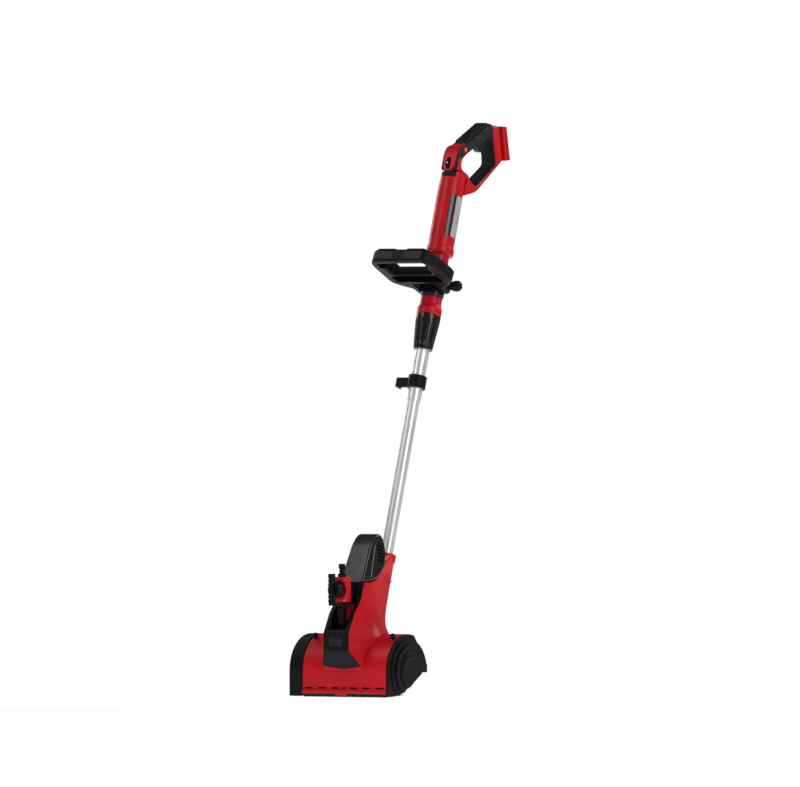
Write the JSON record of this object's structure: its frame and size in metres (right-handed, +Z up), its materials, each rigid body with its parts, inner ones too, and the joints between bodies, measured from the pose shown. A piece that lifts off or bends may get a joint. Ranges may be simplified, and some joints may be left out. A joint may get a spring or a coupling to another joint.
{
  "type": "cordless surface brush",
  "caption": "Hand-held roller brush head with splash cowl, water valve and motor hood on a leaning telescopic pole with ring handle and tilting second handle.",
  "frame": {"origin": "middle of the main grip, where the hand carries the tool", "axes": "+X across the brush towards the flat cover, the front of the head faces -Y, +Z up from the ground; the pole leans back towards +Y"},
  "size_m": [0.269, 0.6626, 1.2372],
  "materials": {
    "red_plastic": "glossy red moulding",
    "black_plastic": "fine-grained black moulding",
    "soft_rubber": "soft matt overmould",
    "grey_plastic": "matt dark grey moulding",
    "orange_plastic": "glossy orange-red button",
    "aluminium_tube": "satin anodised",
    "steel": "bright machined",
    "brass": "plain sintered bush",
    "bristle": "nylon bristle"
  },
  "bodies": {
    "handle": {"handle_tube": "black_plastic", "pole_collar": "red_plastic", "handle_hub": "black_plastic", "handle_neck": "red_plastic", "handle_band": "black_plastic", "handle_shell_left": "red_plastic", "handle_shell_right": "red_plastic", "soft_grip": "soft_rubber", "battery_base": "red_plastic", "battery_contacts": "black_plastic", "switch_module": "grey_plastic"},
    "head": {"brush_cowl": "red_plastic", "rear_guard": "black_plastic", "front_bumper": "red_plastic", "front_lip": "soft_rubber", "cover_left": "black_plastic", "cover_right": "black_plastic", "bearing_cap": "black_plastic", "bearing_left": "steel", "bearing_right": "steel", "layshaft_bush_inner": "brass", "layshaft_bush_outer": "brass", "drive_belt": "soft_rubber", "nose_panel": "black_plastic", "neck_fairing": "red_plastic", "motor_hood": "black_plastic", "motor_can": "steel", "valve_body": "red_plastic", "valve_bracket": "black_plastic", "valve_collar": "black_plastic", "hose_spigot": "black_plastic", "feed_pipe": "black_plastic", "spray_bar": "black_plastic", "lower_tube": "aluminium_tube", "upper_tube": "aluminium_tube"},
    "brush": {"bristles": "bristle", "roller_core": "grey_plastic", "brush_axle": "steel", "driven_pulley": "grey_plastic"},
    "layshaft": {"layshaft": "steel", "bevel_gear": "steel", "drive_pulley": "grey_plastic"},
    "rotor": {"motor_shaft": "steel", "bevel_pinion": "steel", "cooling_fan": "black_plastic"},
    "valve_lever": {"valve_lever": "black_plastic"},
    "hose_clip": {"hose_clip": "black_plastic"},
    "twist_lock": {"twist_lock": "black_plastic"},
    "second_handle": {"second_handle": "black_plastic", "soft_pad_left": "grey_plastic", "soft_pad_right": "grey_plastic"},
    "clamp_knob": {"clamp_knob": "black_plastic"},
    "trigger": {"trigger": "black_plastic"},
    "lock_button": {"lock_button": "orange_plastic"},
    "speed_switch": {"speed_switch": "black_plastic"},
    "latch_left": {"latch_left": "black_plastic"},
    "latch_right": {"latch_right": "black_plastic"}
  },
  "joints": [
    {"name": "head_slide", "type": "slide", "parent": "handle", "child": "head", "axis": [0, -0.3007, -0.9537], "range_m": [-0.055, 0.15]},
    {"name": "brush_spin", "type": "hinge", "parent": "head", "child": "brush", "pos_m": [0, -0.4, -1.1475], "axis": [1, 0, 0], "continuous": true},
    {"name": "layshaft_spin", "type": "hinge", "parent": "head", "child": "layshaft", "pos_m": [0, -0.4236, -1.0859], "axis": [1, 0, 0], "continuous": true},
    {"name": "rotor_spin", "type": "hinge", "parent": "head", "child": "rotor", "pos_m": [0, -0.4236, -1.0859], "axis": [0, 0.1702, 0.9854], "continuous": true},
    {"name": "valve_turn", "type": "hinge", "parent": "head", "child": "valve_lever", "pos_m": [0, -0.508, -0.974], "axis": [0, -1, 0], "range_deg": [0, 90]},
    {"name": "hose_clip_slide", "type": "slide", "parent": "head", "child": "hose_clip", "axis": [0, -0.3007, -0.9537], "range_m": [0, 0.026]},
    {"name": "twist_lock_turn", "type": "hinge", "parent": "handle", "child": "twist_lock", "pos_m": [0, -0.16496, -0.42268], "axis": [0, 0.3007, 0.9537], "range_deg": [0, 90]},
    {"name": "second_handle_tilt", "type": "hinge", "parent": "handle", "child": "second_handle", "pos_m": [0, -0.13369, -0.32349], "axis": [-1, 0, 0], "range_deg": [-30, 25]},
    {"name": "clamp_knob_turn", "type": "hinge", "parent": "handle", "child": "clamp_knob", "pos_m": [0, -0.13369, -0.32349], "axis": [1, 0, 0], "range_deg": [-270, 0]},
    {"name": "trigger_pull", "type": "hinge", "parent": "handle", "child": "trigger", "pos_m": [0, 0.056, -0.009], "axis": [-1, 0, 0], "range_deg": [0, 8], "stiffness_Nm_per_rad": 0.8, "springref_deg": -11.46},
    {"name": "lock_button_push", "type": "slide", "parent": "handle", "child": "lock_button", "axis": [1, 0, 0], "range_m": [-0.003, 0.003], "stiffness_N_per_m": 500},
    {"name": "speed_switch_slide", "type": "slide", "parent": "handle", "child": "speed_switch", "axis": [0, 0.2924, 0.9563], "range_m": [-0.004, 0.004]},
    {"name": "latch_left_press", "type": "slide", "parent": "head", "child": "latch_left", "axis": [0, 0.4226, -0.9063], "range_m": [0, 0.003], "stiffness_N_per_m": 500, "springref_m": -0.002},
    {"name": "latch_right_press", "type": "slide", "parent": "head", "child": "latch_right", "axis": [0, 0.4226, -0.9063], "range_m": [0, 0.003], "stiffness_N_per_m": 500, "springref_m": -0.002}
  ],
  "couplings": [
    {"joint": "layshaft_spin", "follows": "brush_spin", "ratio": 3},
    {"joint": "rotor_spin", "follows": "brush_spin", "ratio": 6}
  ]
}
